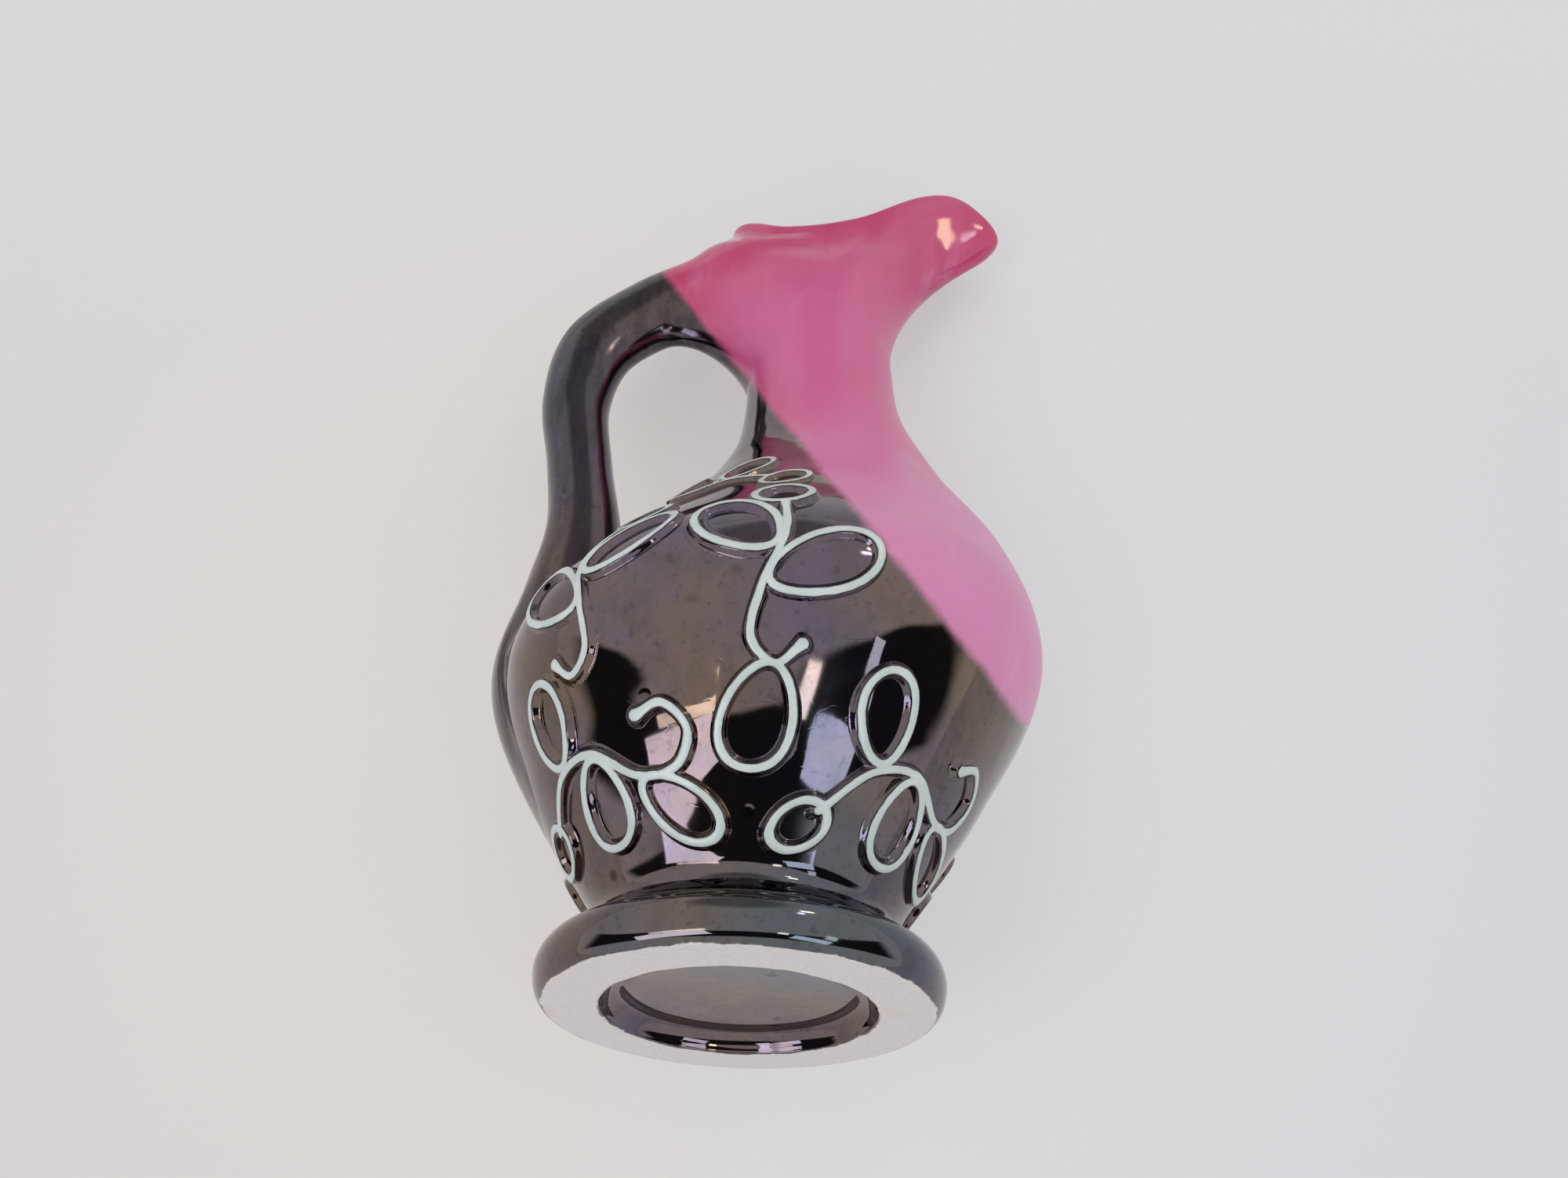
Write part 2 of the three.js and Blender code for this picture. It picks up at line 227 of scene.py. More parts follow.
for radius, height in FLOOR_INSIDE:
    rings.append(lambda a, r=radius, z=height: circle(a, r, z))
print(len(rings), "rings from the foot to the floor inside")

# %% Spin the rings and set each on its section
ROUND = 160
BROAD_WAVE, BROAD_LENGTH = 0.3, 19
FINE_WAVE, FINE_LENGTH = 0.05, 6
SAME_PLACE = 1e-7


def in_place(point):
    return Vector((point.x - SET_BACK, point.y, point.z)) * MM


def ring_stack(count, segments):
    """A tube of plain rings, ring number j at height j, spun from one column of points."""
    bm = bmesh.new()
    column = [bm.verts.new((1, 0, j)) for j in range(count)]
    edges = [bm.edges.new(pair) for pair in zip(column, column[1:])]
    bmesh.ops.spin(
        bm, geom=column + edges, cent=(0, 0, 0), axis=(0, 0, 1), angle=2 * math.pi,
        steps=segments, use_merge=True,
    )
    return bm


def piece_from(bm, name, slot, *nodes):
    """Turns a finished bmesh into a smooth-shaded piece that stands for CAD nodes."""
    bmesh.ops.remove_doubles(bm, verts=bm.verts, dist=SAME_PLACE)
    bmesh.ops.recalc_face_normals(bm, faces=bm.faces)
    for face in bm.faces:
        face.smooth = True
    mesh = bpy.data.meshes.new(name)
    bm.to_mesh(mesh)
    piece = bpy.data.objects.new(name, mesh)
    bpy.context.scene.collection.objects.link(piece)
    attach(piece, "root")
    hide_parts(*nodes)
    print(name, "has", len(mesh.polygons), "faces")
    return piece


def by_hand(point):
    """Slight unevenness that a hand leaves in the wall, in millimetres."""
    broad = BROAD_WAVE * noise.noise(point / BROAD_LENGTH)
    return broad + FINE_WAVE * noise.noise(point / FINE_LENGTH)


bm = ring_stack(len(rings), ROUND)
for v in bm.verts:
    v.co = in_place(rings[round(v.co.z)](math.atan2(v.co.y, v.co.x)))
bm.normal_update()
for v in bm.verts:
    if v.co.z > WAIST * MM:
        v.co += v.normal * by_hand(v.co / MM) * MM
vessel = piece_from(bm, "vessel", "black_lustre", "foot_ring", "belly", "neck")
surface = BVHTree.FromBMesh(bm)
bm.free()

# %% [markdown]
# ## The handle
# A potter pulls the handle from a lump of clay, sets both ends on the pot and smooths the joints with a
# finger. A bevelled curve would give the strap, but its ends would stick into the pot with a hard edge. So
# a tube of rings follows a bent spine, each line along the tube is cut short of the vessel, and a curve
# carries it on until it runs out along the vessel's skin. That gives the smoothed joint.

# %% Spine and section of the handle
HANDLE_SPINE = [
    (22, 190), (8, 197.4), (-6, 202.4), (-19, 198.2), (-32.8, 191.6), (-46.6, 176.9), (-50.2, 156),
    (-46.6, 134), (-43, 113), (-42.5, 92), (-42.5, 70), (-37, 50), (-26, 33),
]
HALF_THICKNESS = [16, 18, 19.8, 14.1, 11.5, 10.4, 8.8, 8.1, 9, 12, 15, 12, 9]
HALF_WIDTH = [13, 13, 12.5, 9.8, 7.8, 7.6, 8, 8.8, 10, 12, 15, 15, 13]
SQUARENESS = 2.05
NUDGE = 0.004
stations = spread(0, 1, len(HANDLE_SPINE) - 1)
half_thickness = curve_through(list(zip(stations, HALF_THICKNESS)))
half_width = curve_through(list(zip(stations, HALF_WIDTH)))


def rounded(value):
    return math.copysign(abs(value) ** (2 / SQUARENESS), value)


def strap(angle, share):
    """A point on the handle's skin, in metres."""
    here = path_point(HANDLE_SPINE, share)
    along = path_point(HANDLE_SPINE, share + NUDGE) - path_point(HANDLE_SPINE, share - NUDGE)
    along.normalize()
    out = half_thickness(share) * rounded(math.cos(angle))
    wide = half_width(share) * rounded(math.sin(angle))
    return in_place(Vector((here.x + along.y * out, wide, here.y - along.x * out)))


print("strap is", 2 * min(HALF_THICKNESS), "mm thick at its thinnest")

# %% Where the strap enters the vessel
UPPER_END, MIDDLE, LOWER_END = 0.02, 0.42, 0.98
SEARCH_STEPS = 240


def meets(angle, start, end):
    """Share along the handle, place and normal where a line of the strap enters the vessel."""
    steps = spread(start, end, SEARCH_STEPS)
    for here, there in zip(steps, steps[1:]):
        a, b = strap(angle, here), strap(angle, there)
        hit, normal, _, _ = surface.ray_cast(a, (b - a).normalized(), (b - a).length)
        if hit is not None:
            return here, hit, normal
    raise ValueError("the strap misses the vessel")


def root_centre(start, end):
    """Where the middle of the strap enters the vessel."""
    steps = []
    for share in spread(start, end, SEARCH_STEPS):
        here = path_point(HANDLE_SPINE, share)
        steps.append(in_place(Vector((here.x, 0, here.y))))
    for a, b in zip(steps, steps[1:]):
        hit, _, _, _ = surface.ray_cast(a, (b - a).normalized(), (b - a).length)
        if hit is not None:
            return hit
    raise ValueError("the spine misses the vessel")


upper_centre = root_centre(MIDDLE, UPPER_END)
lower_centre = root_centre(MIDDLE, LOWER_END)
print("roots are", round((upper_centre - lower_centre).length / MM), "mm apart")

# %% Joints that run out along the vessel
JOINT_STEPS, CUT_STEPS = 16, 400
UPPER_JOINT, UPPER_FLARE = 18.5 * MM, 7.5 * MM
LOWER_JOINT, LOWER_FLARE = 7 * MM, -3 * MM
FLOW = 0.38
BELOW_RIM = 0.2
SHRINK, LEAST_RISE = 0.95, 1 * MM
SUNK_SHARE = 0.014


def joint(angle, start, end, reach, centre):
    """Where a strap line is cut, and its run out along the vessel's skin, which ends below the rim."""
    share, hit, normal = meets(angle, start, end)
    outward = hit - centre
    outward = (outward - normal * outward.dot(normal)).normalized()
    rise = reach
    foot, foot_normal, _, _ = surface.find_nearest(hit + outward * rise)
    while foot.z > (rim_height(foot.x / MM + SET_BACK) - BELOW_RIM) * MM and rise > LEAST_RISE:
        rise *= SHRINK
        foot, foot_normal, _, _ = surface.find_nearest(hit + outward * rise)
    step = (start - end) / CUT_STEPS
    cut = share
    while (strap(angle, cut) - hit).length < reach and 0 < cut + step < 1:
        cut += step
    along_skin = foot - hit
    along_skin = (along_skin - foot_normal * along_skin.dot(foot_normal)).normalized()
    top = strap(angle, cut)
    leave = (top - strap(angle, cut + step)).normalized()
    pull = FLOW * (foot - top).length
    sunk = foot - foot_normal * SUNK_SHARE * reach
    bends = [top, top + leave * pull, foot - along_skin * pull, sunk]
    run = []
    for t in spread(0, 1, JOINT_STEPS)[1:]:
        weights = ((1 - t) ** 3, 3 * t * (1 - t) ** 2, 3 * t * t * (1 - t), t ** 3)
        run.append(sum((point * weight for point, weight in zip(bends, weights)), Vector()))
    return cut, run


print("upper joint reaches", round((UPPER_JOINT + UPPER_FLARE) / MM), "mm along the neck")

# %% Lines of the handle, from root to root
HANDLE_SIDES = 64
HANDLE_RINGS = 72
CAP_DEPTH = 1.5 * MM
CAP_SHARES = (0.12, 0.4, 0.7, 1)


def root_cap(foot, centre):
    """Points from the end of a joint back to the root's middle, hidden inside the vessel's wall."""
    points = []
    for share in CAP_SHARES:
        skin, normal, _, _ = surface.find_nearest(foot.lerp(centre, share))
        points.append(skin - normal * CAP_DEPTH)
    return points


lines = []
for i in range(HANDLE_SIDES):
    angle = 2 * math.pi * i / HANDLE_SIDES
    upper_reach = UPPER_JOINT - UPPER_FLARE * math.cos(angle)
    upper_cut, upper_run = joint(angle, MIDDLE, UPPER_END, upper_reach, upper_centre)
    lower_reach = LOWER_JOINT - LOWER_FLARE * math.cos(angle)
    lower_cut, lower_run = joint(angle, MIDDLE, LOWER_END, lower_reach, lower_centre)
    body = [strap(angle, s) for s in spread(upper_cut, lower_cut, HANDLE_RINGS)]
    upper_cap = root_cap(upper_run[-1], upper_centre)
    lower_cap = root_cap(lower_run[-1], lower_centre)
    lines.append(upper_cap[::-1] + upper_run[::-1] + body + lower_run + lower_cap)

bm = ring_stack(len(lines[0]), HANDLE_SIDES)
for v in bm.verts:
    number = round(math.atan2(v.co.y, v.co.x) / (2 * math.pi) * HANDLE_SIDES) % HANDLE_SIDES
    v.co = lines[number][round(v.co.z)]
handle = piece_from(bm, "handle", "black_lustre", "handle")
bm.free()

# %% [markdown]
# ## The trailed sprigs
# Slip is squeezed from a nozzle, so every line has the same soft width, its ends are blobs, and crossing
# lines flow into each other. Bevelled curves would be quicker, but they would cut through each other at the
# crossings. So a fine grid is laid over each sprig, and every grid point asks how far it is from the nearest
# line. That distance raises the grid into a bead, and it is kept on the mesh, because the glaze is pale on
# the crest and dark on the flanks.

# %% Strokes of a sprig, drawn flat in millimetres
LEAF_SKEW = 0.18
LEAF_POINTS, RING_POINTS, STEM_POINTS = 240, 140, 400


def leaf(x, y, degrees, length, width):
    turn = Matrix.Rotation(math.radians(degrees), 2)
    points = []
    for t in spread(0, 2 * math.pi, LEAF_POINTS):
        along = length / 2 * (1 - math.cos(t))
        across = width / 2 * math.sin(t) * (1 - LEAF_SKEW * math.cos(t))
        points.append(turn @ Vector((along, across)) + Vector((x, y)))
    return points, False


def ringlet(x, y, radius):
    turns = spread(0, 2 * math.pi, RING_POINTS)
    return [Vector((x + radius * math.cos(t), y + radius * math.sin(t))) for t in turns], False


def stem(*places):
    return [path_point(places, share) for share in spread(0, 1, STEM_POINTS)], True


FORK = [
    stem((-9, -17), (-5, -21), (0, -17), (0, -8), (-1, 2), (3, 12)),
    leaf(-1, -7, 148, 20, 11.5),
    leaf(0, 0, 28, 19, 11),
    ringlet(5.2, 16.5, 5),
]
FORK_WITH_DROP = FORK + [leaf(-4.5, -21, -86, 18, 12)]
SCROLL = [
    stem((-18, -8), (-11, 1), (-1, 3), (9, -3), (17, -2), (21, 5), (17, 10.5), (11, 8.5)),
    leaf(-10, 3, 108, 19, 11),
    leaf(-1, 2, -86, 18, 11),
    leaf(10, -4, -46, 16, 10.5),
    ringlet(-20.5, -11.5, 5),
]
CROOK = [
    stem((-16, -9), (-6, -5), (4, -6), (13, 0), (13, 8), (6, 9)),
    leaf(-5, -4, 100, 17, 10.5),
    ringlet(-20, -11.5, 5),
]

# Each sprig: name, strokes, degrees round the belly, height, tilt, mirrored or not, scale, share of the bead.
SPRIGS = [
    ("low_1", SCROLL, 44, 33, 3, 1, 0.92, 1),
    ("low_2", SCROLL, 131, 34, -4, 1, 0.92, 1),
    ("mid_3", FORK_WITH_DROP, 90, 67.5, -6, -1, 1.03, 0.95),
    ("mid_4", FORK, 129, 69, 4, 1, 0.94, 0.95),
    ("top_5", CROOK, 121, 101, 8, -1, 0.85, 0.7),
]
print(len(SPRIGS), "sprigs for each side")

# %% Places on the belly
WALK_STEPS = 10
HALF_STEP = 0.5
TURN_NUDGE, RISE_NUDGE = 0.01, 0.3


def on_belly(angle, height, across, up):
    """Where so many millimetres across and up lead from a place on the belly."""
    for _ in range(WALK_STEPS):
        lean = side(height + HALF_STEP) - side(height - HALF_STEP)
        height += up / WALK_STEPS / math.hypot(1, lean)
    girth = (front(height) - back(height)) / 4 + side(height) / 2
    return angle + across / girth, height


def belly_normal(angle, height):
    around = wall(angle + TURN_NUDGE, height) - wall(angle - TURN_NUDGE, height)
    upward = wall(angle, height + RISE_NUDGE) - wall(angle, height - RISE_NUDGE)
    return around.cross(upward).normalized()


print("belly faces", tuple(round(c, 2) for c in belly_normal(0, WIDEST)), "at its front")

# %% Section of a bead
BEAD_HALF_WIDTH = 1.95
CREST_HALF_WIDTH = 0.62
BEAD_HEIGHT = 1.4
CROWN, BEDDED = 0.1, 0.12
BLOB, BLOB_LENGTH = 0.45, 3.5
WANDER, WANDER_SCALE, WANDER_LAYER = 0.1, 0.16, 3


def bead_height(distance):
    """Nearly flat crest, steep flank and soft foot of a bead, by distance from its middle."""
    t = min(max((distance - CREST_HALF_WIDTH) / (BEAD_HALF_WIDTH - CREST_HALF_WIDTH), 0), 1)
    fall = t * t * t * (t * (6 * t - 15) + 10)
    crown = CROWN * min(distance / CREST_HALF_WIDTH, 1) ** 2
    return (BEAD_HEIGHT - crown) * (1 - fall) - BEDDED * t


def stroke_field(strokes):
    """All points of the strokes in a search tree, with the bead's width at each."""
    samples = []
    for points, free in strokes:
        length = sum((b - a).length for a, b in zip(points, points[1:]))
        gone = 0
        for i, point in enumerate(points):
            gone += (point - points[i - 1]).length if i else 0
            spot = (point.x * WANDER_SCALE, point.y * WANDER_SCALE, WANDER_LAYER)
            swell = 1 + WANDER * noise.noise(spot)
            if free:
                end = min(gone, length - gone)
                swell += BLOB * max(0, 1 - end / BLOB_LENGTH) ** 2
            samples.append((point, swell))
    tree = KDTree(len(samples))
    for i, (point, _) in enumerate(samples):
        tree.insert((point.x, point.y, 0), i)
    tree.balance()
    return tree, samples


print("bead stands", BEAD_HEIGHT, "mm high")

# %% Lay the sprigs on the belly
GRID_STEP = 0.27
MARGIN = 1.6 * BEAD_HALF_WIDTH
BESIDE_BEAD = 0.5
BACKING = 0.8 * MM


def make_sprig(name, strokes, angle, height, tilt, mirror, scale, bead):
    tree, samples = stroke_field(strokes)
    xs, ys = [p.x for p, _ in samples], [p.y for p, _ in samples]
    low = Vector((min(xs) - MARGIN, min(ys) - MARGIN, 0))
    high = Vector((max(xs) + MARGIN, max(ys) + MARGIN, 0))
    size = high - low
    bm = bmesh.new()
    columns, rows = round(size.x / GRID_STEP), round(size.y / GRID_STEP)
    bmesh.ops.create_grid(bm, x_segments=columns, y_segments=rows, size=0.5)
    bmesh.ops.scale(bm, vec=(size.x, size.y, 1), verts=bm.verts)
    bmesh.ops.translate(bm, vec=(low + high) / 2, verts=bm.verts)
    trail = bm.verts.layers.float.new("trail")
    for v in bm.verts:
        _, nearest, distance = tree.find(v.co)
        v[trail] = distance * scale / (samples[nearest][1] * bead)
    outside = [v for v in bm.verts if v[trail] > BEAD_HALF_WIDTH + BESIDE_BEAD]
    bmesh.ops.delete(bm, geom=outside, context="VERTS")
    turn = Matrix.Rotation(tilt, 2)
    for v in bm.verts:
        flat = turn @ (Vector((v.co.x * mirror, v.co.y)) * scale)
        where = on_belly(angle, height, flat.x, flat.y)
        v.co = in_place(wall(*where) + belly_normal(*where) * (bead_height(v[trail]) * bead))
    piece = piece_from(bm, "trail_" + name, "celadon_slip", "sprig_" + name)
    bm.free()
    return piece


trails = []
for hand, sign in (("left", 1), ("right", -1)):
    for name, strokes, degrees, height, tilt, mirror, scale, bead in SPRIGS:
        trails.append(make_sprig(
            f"{hand}_{name}", strokes, sign * math.radians(degrees), height,
            -sign * math.radians(tilt), -sign * mirror, scale, bead,
        ))
for piece in trails:
    backing = piece.modifiers.new("backing", "SOLIDIFY")
    backing.thickness = BACKING
    backing.offset = -1

# %% [markdown]
# ## Shared glaze effects
# The pink glaze was poured over the pot up to a slanting line. The black lustre shimmers between bronze,
# violet and steel, and has pinholes and fine crazing. Both could be painted on a picture, but noise needs no
# picture file and stays sharp up close. Vessel, handle and slip share these effects, so each effect is a node
# group that is built once. One plane through the pot, roughened with noise, says where the pink lies.

# %% A small helper for building node trees
class Nodes:
    """Adds nodes to a tree and links them in one line each. An input is named, or numbered as in0, in1."""

    def __init__(self, tree):
        self.tree = tree

    def add(self, kind, settings=None, **inputs):
        node = self.tree.nodes.new(kind)
        for key, value in (settings or {}).items():
            setattr(node, key, value)
        for key, value in inputs.items():
            which = int(key[2:]) if key.startswith("in") else key.replace("_", " ")
            socket = node.inputs[which]
            if isinstance(value, bpy.types.NodeSocket):
                self.tree.links.new(value, socket)
            else:
                socket.default_value = value
        return node

    def link(self, value, socket):
        self.tree.links.new(value, socket)

    def object_place(self):
        return self.add("ShaderNodeTexCoord").outputs["Object"]

    def math(self, operation, a, b=0.0, clamp=False):
        settings = {"operation": operation, "use_clamp": clamp}
        return self.add("ShaderNodeMath", settings, in0=a, in1=b).outputs[0]

    def dot(self, a, b):
        return self.add("ShaderNodeVectorMath", {"operation": "DOT_PRODUCT"}, in0=a, in1=b).outputs["Value"]

    def vector(self, operation, a, b):
        return self.add("ShaderNodeVectorMath", {"operation": operation}, in0=a, in1=b).outputs["Vector"]

    def scaled(self, a, factor):
        return self.add("ShaderNodeVectorMath", {"operation": "SCALE"}, in0=a, Scale=factor).outputs["Vector"]

    def ramp(self, value, low, high, to_low=0.0, to_high=1.0):
        settings = {"interpolation_type": "SMOOTHSTEP"}
        return self.add(
            "ShaderNodeMapRange", settings, in0=value, in1=low, in2=high, in3=to_low, in4=to_high,
        ).outputs[0]

    def noise(self, place, scale, detail=2.0, roughness=0.5):
        return self.add(
            "ShaderNodeTexNoise", None, Vector=place, Scale=scale, Detail=detail, Roughness=roughness,
        ).outputs[0]

    def mix(self, factor, a, b):
        node = self.add("ShaderNodeMix", {"data_type": "RGBA"})
        for index, value in ((0, factor), (6, a), (7, b)):
            if isinstance(value, bpy.types.NodeSocket):
                self.tree.links.new(value, node.inputs[index])
            else:
                node.inputs[index].default_value = value
        return node.outputs[2]


def new_group(name, inputs, outputs):
    """A shader node group with named sockets, and its two end nodes."""
    group = bpy.data.node_groups.new(name, "ShaderNodeTree")
    for socket, kind in inputs:
        group.interface.new_socket(name=socket, in_out="INPUT", socket_type=kind)
    for socket, kind in outputs:
        group.interface.new_socket(name=socket, in_out="OUTPUT", socket_type=kind)
    nodes = Nodes(group)
    return group, nodes, nodes.add("NodeGroupInput"), nodes.add("NodeGroupOutput")


def shade(red, green, blue):
    return (red, green, blue, 1)


print("helper", Nodes.__name__, "is ready")

# %% Where the pink glaze lies
DIP_NORMAL = (0.755, -0.451, 0.477)
DIP_DISTANCE = 72.65 * MM
COLOUR, VALUE = "NodeSocketColor", "NodeSocketFloat"

dip_line, n, _, out = new_group("Dip line", [], [("Pink", VALUE), ("Near edge", VALUE)])
place = n.object_place()
across = n.dot(place, DIP_NORMAL)
wander = n.math("MULTIPLY", n.math("SUBTRACT", n.noise(place, 34), 0.5), 2.5 * MM)
fray = n.math("MULTIPLY", n.math("SUBTRACT", n.noise(place, 260, 3), 0.5), 1.0 * MM)
across = n.math("ADD", n.math("SUBTRACT", across, DIP_DISTANCE), n.math("ADD", wander, fray))
n.link(n.ramp(across, -1.1 * MM, 1.5 * MM), out.inputs["Pink"])
n.link(n.ramp(across, 14 * MM, 0), out.inputs["Near edge"])
print("group", dip_line.name)

# %% Colours of the black lustre
lustre, n, into, out = new_group(
    "Black lustre", [("Tone", VALUE), ("Streaks", VALUE), ("Dullness", VALUE), ("Crazing", VALUE)],
    [("Colour", COLOUR), ("Roughness", VALUE), ("Height", VALUE)],
)
place = n.object_place()
clouds = n.noise(place, 26, 3, 0.6)
drift = n.noise(place, 11, 2)
BRONZE, VIOLET, STEEL = shade(0.165, 0.122, 0.098), shade(0.13, 0.108, 0.142), shade(0.092, 0.115, 0.128)
MOTTLE, SPECK, STREAK = shade(0.07, 0.062, 0.066), shade(0.045, 0.038, 0.038), shade(0.05, 0.046, 0.046)
PINHOLE, CRAZE = shade(0.03, 0.025, 0.028), shade(0.2, 0.185, 0.18)
colour = n.mix(n.ramp(clouds, 0.36, 0.64), BRONZE, VIOLET)
colour = n.mix(n.ramp(drift, 0.5, 0.72), colour, STEEL)
specks = n.noise(place, 620, 3)
cells = n.add("ShaderNodeTexVoronoi", None, Vector=place, Scale=95.0)
pits = n.ramp(cells.outputs["Distance"], 0.16, 0.07)
pits = n.math("MULTIPLY", pits, n.ramp(n.noise(place, 60), 0.5, 0.62))
mottle = n.ramp(n.noise(place, 140, 5, 0.7), 0.4, 0.68)
colour = n.mix(n.math("MULTIPLY", mottle, 0.3), colour, MOTTLE)
colour = n.mix(n.math("MULTIPLY", n.ramp(specks, 0.58, 0.7), 0.35), colour, SPECK)
upright = n.add("ShaderNodeMapping", None, Vector=place)
upright.inputs["Scale"].default_value = (1, 1, 0.2)
streaks = n.ramp(n.noise(upright.outputs[0], 210, 4, 0.65), 0.42, 0.64)
colour = n.mix(n.math("MULTIPLY", streaks, into.outputs["Streaks"]), colour, STREAK)
colour = n.mix(n.math("MULTIPLY", pits, 0.75), colour, PINHOLE)
wavering = n.add("ShaderNodeTexNoise", None, Vector=place, Scale=190.0, Detail=2.0).outputs["Color"]
bent = n.vector("ADD", place, n.scaled(wavering, 4 * MM))
crazing = n.add(
    "ShaderNodeTexVoronoi", {"feature": "DISTANCE_TO_EDGE"}, Vector=bent, Scale=185.0,
).outputs["Distance"]
crazing = n.math("MULTIPLY", n.ramp(crazing, 0.04, 0.012), n.ramp(n.noise(place, 85), 0.4, 0.66))
crazing = n.math("MULTIPLY", crazing, into.outputs["Crazing"])
colour = n.mix(crazing, colour, CRAZE)
n.link(n.scaled(colour, into.outputs["Tone"]), out.inputs["Colour"])
gloss = n.ramp(n.noise(place, 70, 3), 0.35, 0.8, 0.03, 0.085)
n.link(n.math("ADD", gloss, into.outputs["Dullness"]), out.inputs["Roughness"])
dents = n.math("ADD", n.math("MULTIPLY", pits, -0.25), n.math("MULTIPLY", crazing, -0.1))
n.link(dents, out.inputs["Height"])
print("group", lustre.name)

# %% [markdown]
# ## The pink glaze and the bare clay
# The pink glaze is milky where it is thick, and low on the pot a painted reflection of the pale room
# is added to that milkiness. It turns deeper and redder where it thins: along the dip line, on the edge
# of the rim and in streaks down the neck. The ring under the foot was wiped clean, and shows pale clay
# with an uneven edge of glaze. Separate materials on separate faces would give straight edges, so each
# finish is a group that puts out colours and a mask, and the material mixes them.

# %% Colour of the pink glaze
pink_glaze, n, into, out = new_group(
    "Pink glaze", [("Near edge", VALUE)], [("Colour", COLOUR), ("Roughness", VALUE)],
)
place = n.object_place()
height = n.add("ShaderNodeSeparateXYZ", None, Vector=place).outputs["Z"]
tall = n.add("ShaderNodeMapping", None, Vector=place)
tall.inputs["Scale"].default_value = (1, 1, 0.22)
streaks = n.noise(tall.outputs[0], 130, 3, 0.6)
clouds = n.noise(place, 38, 3)
thin = n.math("MULTIPLY", into.outputs["Near edge"], 0.3)
thin = n.math("ADD", thin, n.ramp(height, 0.15, 0.225, 0, 0.7))
thin = n.math("ADD", thin, n.math("MULTIPLY", n.math("SUBTRACT", streaks, 0.5), 0.5))
thin = n.math("ADD", thin, n.math("MULTIPLY", n.math("SUBTRACT", clouds, 0.5), 0.7), clamp=True)
MILKY, DEEP, PALE_MILK_AND_SHEEN = shade(0.68, 0.132, 0.32), shade(0.56, 0.045, 0.14), shade(0.77, 0.35, 0.61)
colour = n.mix(n.ramp(thin, 0.05, 0.95), MILKY, DEEP)
wisps = n.noise(tall.outputs[0], 60, 4, 0.65)
# Paler low on the pot: milky thick glaze, with a painted reflection of the pale room added.
milk = n.math("ADD", n.math("MULTIPLY", n.ramp(wisps, 0.55, 0.78), 0.3), n.ramp(height, 0.15, 0.07, 0, 0.6))
colour = n.mix(milk, colour, PALE_MILK_AND_SHEEN)
n.link(colour, out.inputs["Colour"])
worn = n.math("ADD", thin, n.math("MULTIPLY", clouds, 0.2))
n.link(n.ramp(worn, 0.25, 0.8, 0.3, 0.09), out.inputs["Roughness"])
print("group", pink_glaze.name)

# %% Bare clay under the foot
bare_clay, n, _, out = new_group("Bare clay", [], [("Bare", VALUE), ("Colour", COLOUR), ("Height", VALUE)])
place = n.object_place()
flat = n.vector("MULTIPLY", n.vector("ADD", place, (SET_BACK * MM, 0, 0)), (1, 1, 0))
radius = n.add("ShaderNodeVectorMath", {"operation": "LENGTH"}, in0=flat).outputs["Value"]
ragged = n.math("MULTIPLY", n.math("SUBTRACT", n.noise(place, 120, 4, 0.6), 0.5), 2.4 * MM)
radius = n.math("ADD", radius, ragged)
inner = n.ramp(radius, 26.2 * MM, 26.5 * MM)
outer = n.ramp(radius, 36.9 * MM, 36.6 * MM)
height = n.add("ShaderNodeSeparateXYZ", None, Vector=place).outputs["Z"]
low = n.ramp(height, 0.9 * MM, 0.5 * MM)
n.link(n.math("MULTIPLY", n.math("MULTIPLY", inner, outer), low), out.inputs["Bare"])
grain = n.noise(place, 900, 4, 0.7)
stain = n.noise(place, 60, 3)
CLAY, PALE_CLAY, STAINED = shade(0.7, 0.66, 0.64), shade(0.77, 0.735, 0.715), shade(0.7, 0.58, 0.52)
colour = n.mix(n.ramp(grain, 0.3, 0.7), CLAY, PALE_CLAY)
colour = n.mix(n.math("MULTIPLY", n.ramp(stain, 0.55, 0.78), 0.3), colour, STAINED)
n.link(colour, out.inputs["Colour"])
n.link(n.math("MULTIPLY", grain, 0.12), out.inputs["Height"])
print("group", bare_clay.name)

# %% [markdown]
# ## The finished materials
# The glazes lie side by side on the pot and run into each other at their edges. Shaders could be mixed for
# that, but mixing colours is simpler, so each material places the groups it needs and feeds one glossy
# shader. The lustre is a thin film of metal, so Metallic follows it and is zero on pink glaze and clay.

# %% Glaze of the vessel and the handle
def place_group(nodes, group, **inputs):
    return nodes.add("ShaderNodeGroup", {"node_tree": group}, **inputs).outputs


CLAY_ROUGHNESS = 0.85
ORANGE_PEEL = 0.9
BUMP_STRENGTH, BUMP_DEPTH = 0.5, 0.4 * MM


